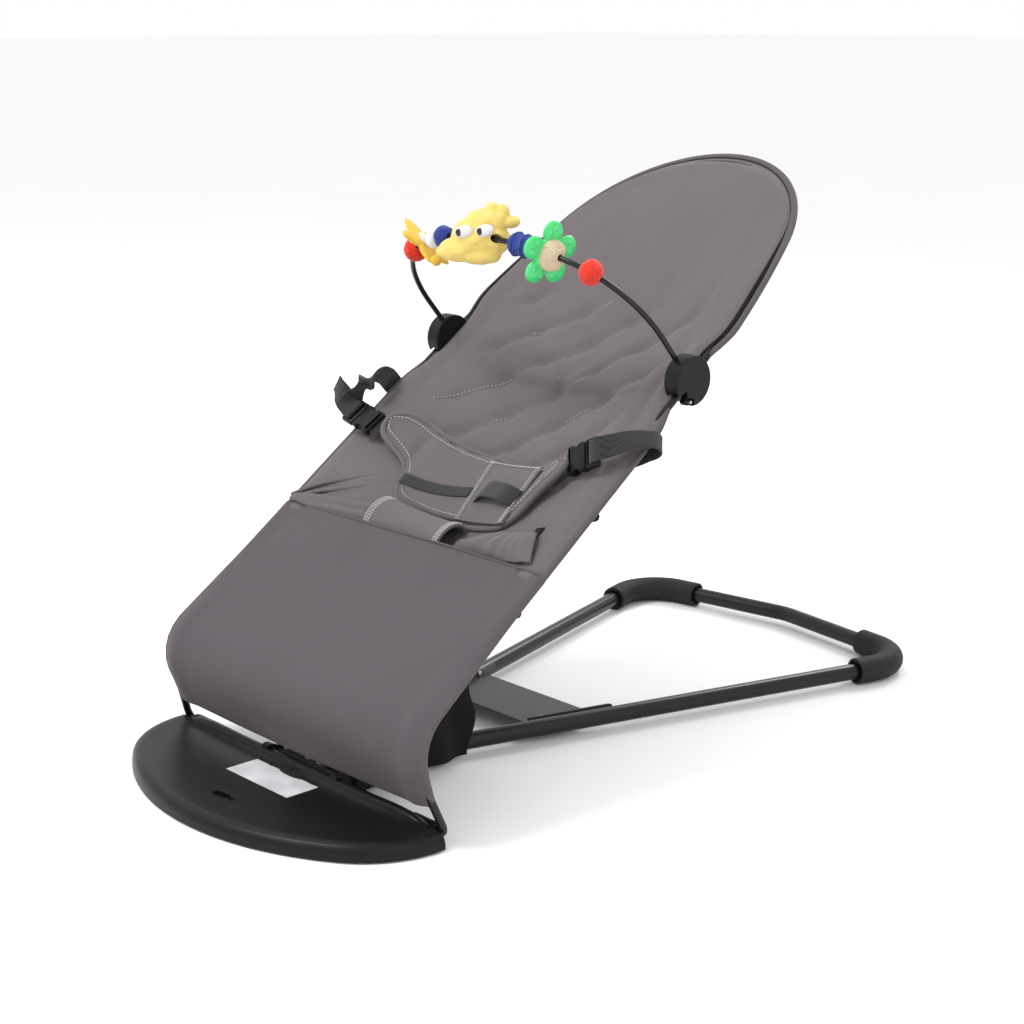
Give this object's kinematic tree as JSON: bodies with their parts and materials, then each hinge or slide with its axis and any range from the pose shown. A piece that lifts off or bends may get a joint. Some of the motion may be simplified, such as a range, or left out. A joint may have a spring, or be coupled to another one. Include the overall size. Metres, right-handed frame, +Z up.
{
  "type": "baby bouncer seat",
  "caption": "Reclining baby bouncer with a sprung wire loop seat, foot plate, tubular base, waist harness and clip-on toy bar.",
  "frame": {"origin": "on the floor under the centre of the whole object's outline", "axes": "+Z up, -Y towards the foot plate and the child's feet, +Y towards the head, X across"},
  "size_m": [0.3793, 0.7901, 0.5091],
  "materials": {
    "black_plastic": "fine satin moulding grain",
    "black_paint": "gloss powder coat",
    "rubber": "matt rubber",
    "label_film": "satin silver film, blank",
    "steel": "zinc plated",
    "seat_fabric": "warm dark grey twill",
    "curtain_fabric": "matt black woven",
    "harness_fabric": "quilted charcoal cloth with grey topstitching",
    "webbing": "black ribbed webbing",
    "red_terry": "terry cloth",
    "blue_terry": "terry cloth",
    "green_rubber": "soft translucent teether",
    "beige_knit": "loop knit",
    "yellow_plush": "short pile plush",
    "white_plastic": "polished"
  },
  "bodies": {
    "base_frame": {"foot_plate": "black_plastic", "foot_pads": "rubber", "label_plate": "label_film", "hinge_bracket": "black_plastic", "ridge_clip_left": "black_plastic", "ridge_clip_right": "black_plastic", "bracket_screws": "steel", "base_tube": "black_paint", "corner_sleeve_left": "rubber", "corner_sleeve_right": "rubber", "cross_plate": "black_paint", "cross_plate_rivets": "steel", "bow_lug_left": "black_plastic", "bow_lug_right": "black_plastic", "skirt_left": "curtain_fabric", "skirt_right": "curtain_fabric"},
    "pivot_bushes": {"pivot_bush_left": "black_plastic", "pivot_bush_right": "black_plastic"},
    "seat": {"seat_loop": "black_paint", "edge_channel": "seat_fabric", "back_pad": "seat_fabric", "leg_panel": "seat_fabric", "crossbars": "black_paint", "crossbar_hooks": "black_plastic", "recline_rack": "black_plastic", "waist_bib": "harness_fabric", "crotch_roll": "harness_fabric", "bib_tab_left": "webbing", "bib_tab_right": "webbing", "waist_strap_left": "webbing", "waist_strap_right": "webbing", "buckle_socket_left": "black_plastic", "buckle_socket_right": "black_plastic"},
    "support_bow": {"support_bow": "black_paint"},
    "toy_arch": {"toy_bar": "black_paint", "clamp_body_left": "black_plastic", "clamp_body_right": "black_plastic", "clamp_pin_left": "steel", "clamp_pin_right": "steel"},
    "jaw_left": {"clamp_jaw_left": "black_plastic"},
    "jaw_right": {"clamp_jaw_right": "black_plastic"},
    "plug_left": {"buckle_plug_left": "black_plastic"},
    "plug_right": {"buckle_plug_right": "black_plastic"},
    "flower": {"toy_flower_ring": "green_rubber", "toy_flower_centre": "beige_knit"},
    "red_bead_right": {"toy_red_bead_right": "red_terry"},
    "blue_beads": {"toy_blue_beads": "blue_terry"},
    "plush_head": {"toy_plush_head": "yellow_plush"},
    "blue_bead_left": {"toy_blue_bead_left": "blue_terry"},
    "white_bead": {"toy_white_bead": "white_plastic"},
    "star": {"toy_star": "yellow_plush"},
    "red_bead_left": {"toy_red_bead_left": "red_terry"}
  },
  "joints": [
    {"name": "seat_recline", "type": "hinge", "parent": "base_frame", "child": "pivot_bushes", "pos_m": [0, -0.26356, 0.0085], "axis": [1, 0, 0], "range_deg": [-36.2, 0], "deforming": ["skirt_left", "skirt_right"]},
    {"name": "seat_bounce", "type": "hinge", "parent": "pivot_bushes", "child": "seat", "pos_m": [0, -0.26356, 0.0085], "axis": [1, 0, 0], "range_deg": [-1.5, 1.5], "stiffness_Nm_per_rad": 600, "springref_deg": 0.34},
    {"name": "bow_swing", "type": "hinge", "parent": "base_frame", "child": "support_bow", "pos_m": [0, -0.14056, 0.027], "axis": [1, 0, 0], "range_deg": [-72.5, 0]},
    {"name": "toy_arch_slide", "type": "slide", "parent": "seat", "child": "toy_arch", "axis": [0, 0.807, 0.5906], "range_m": [-0.04, 0.01]},
    {"name": "jaw_left_open", "type": "hinge", "parent": "toy_arch", "child": "jaw_left", "pos_m": [0, 0.03773, 0.32019], "axis": [1, 0, 0], "range_deg": [-55, 0]},
    {"name": "jaw_right_open", "type": "hinge", "parent": "toy_arch", "child": "jaw_right", "pos_m": [0, 0.03773, 0.32019], "axis": [1, 0, 0], "range_deg": [-55, 0]},
    {"name": "buckle_left_release", "type": "slide", "parent": "seat", "child": "plug_left", "axis": [-0.9711, -0.0028, 0.2387], "range_m": [0, 0.015], "deforming": ["waist_strap_left"]},
    {"name": "buckle_right_release", "type": "slide", "parent": "seat", "child": "plug_right", "axis": [0.9035, -0.0482, 0.4258], "range_m": [0, 0.015], "deforming": ["waist_strap_right"]},
    {"name": "flower_spin", "type": "hinge", "parent": "toy_arch", "child": "flower", "pos_m": [0.07493, -0.04812, 0.44868], "axis": [0.9579, 0.1853, -0.2193], "continuous": true},
    {"name": "red_bead_right_spin", "type": "hinge", "parent": "toy_arch", "child": "red_bead_right", "pos_m": [0.11507, -0.03679, 0.43528], "axis": [0.82, 0.3694, -0.4371], "continuous": true},
    {"name": "blue_beads_spin", "type": "hinge", "parent": "toy_arch", "child": "blue_beads", "pos_m": [0.04576, -0.0526, 0.45398], "axis": [0.9845, 0.1132, -0.1339], "continuous": true},
    {"name": "plush_head_spin", "type": "hinge", "parent": "toy_arch", "child": "plush_head", "pos_m": [-0.009, -0.05511, 0.45695], "axis": [0.9994, -0.0223, 0.0263], "continuous": true},
    {"name": "blue_bead_left_spin", "type": "hinge", "parent": "toy_arch", "child": "blue_bead_left", "pos_m": [-0.0585, -0.05092, 0.452], "axis": [0.9746, -0.1447, 0.1712], "continuous": true},
    {"name": "white_bead_spin", "type": "hinge", "parent": "toy_arch", "child": "white_bead", "pos_m": [-0.07684, -0.04774, 0.44824], "axis": [0.9557, -0.19, 0.2249], "continuous": true},
    {"name": "star_spin", "type": "hinge", "parent": "toy_arch", "child": "star", "pos_m": [-0.09571, -0.04347, 0.44318], "axis": [0.9303, -0.2367, 0.2801], "continuous": true},
    {"name": "red_bead_left_spin", "type": "hinge", "parent": "toy_arch", "child": "red_bead_left", "pos_m": [-0.11589, -0.03642, 0.43484], "axis": [0.8138, -0.3751, 0.4438], "continuous": true}
  ],
  "couplings": [
    {"joint": "bow_swing", "follows": "seat_recline", "ratio": 2}
  ]
}
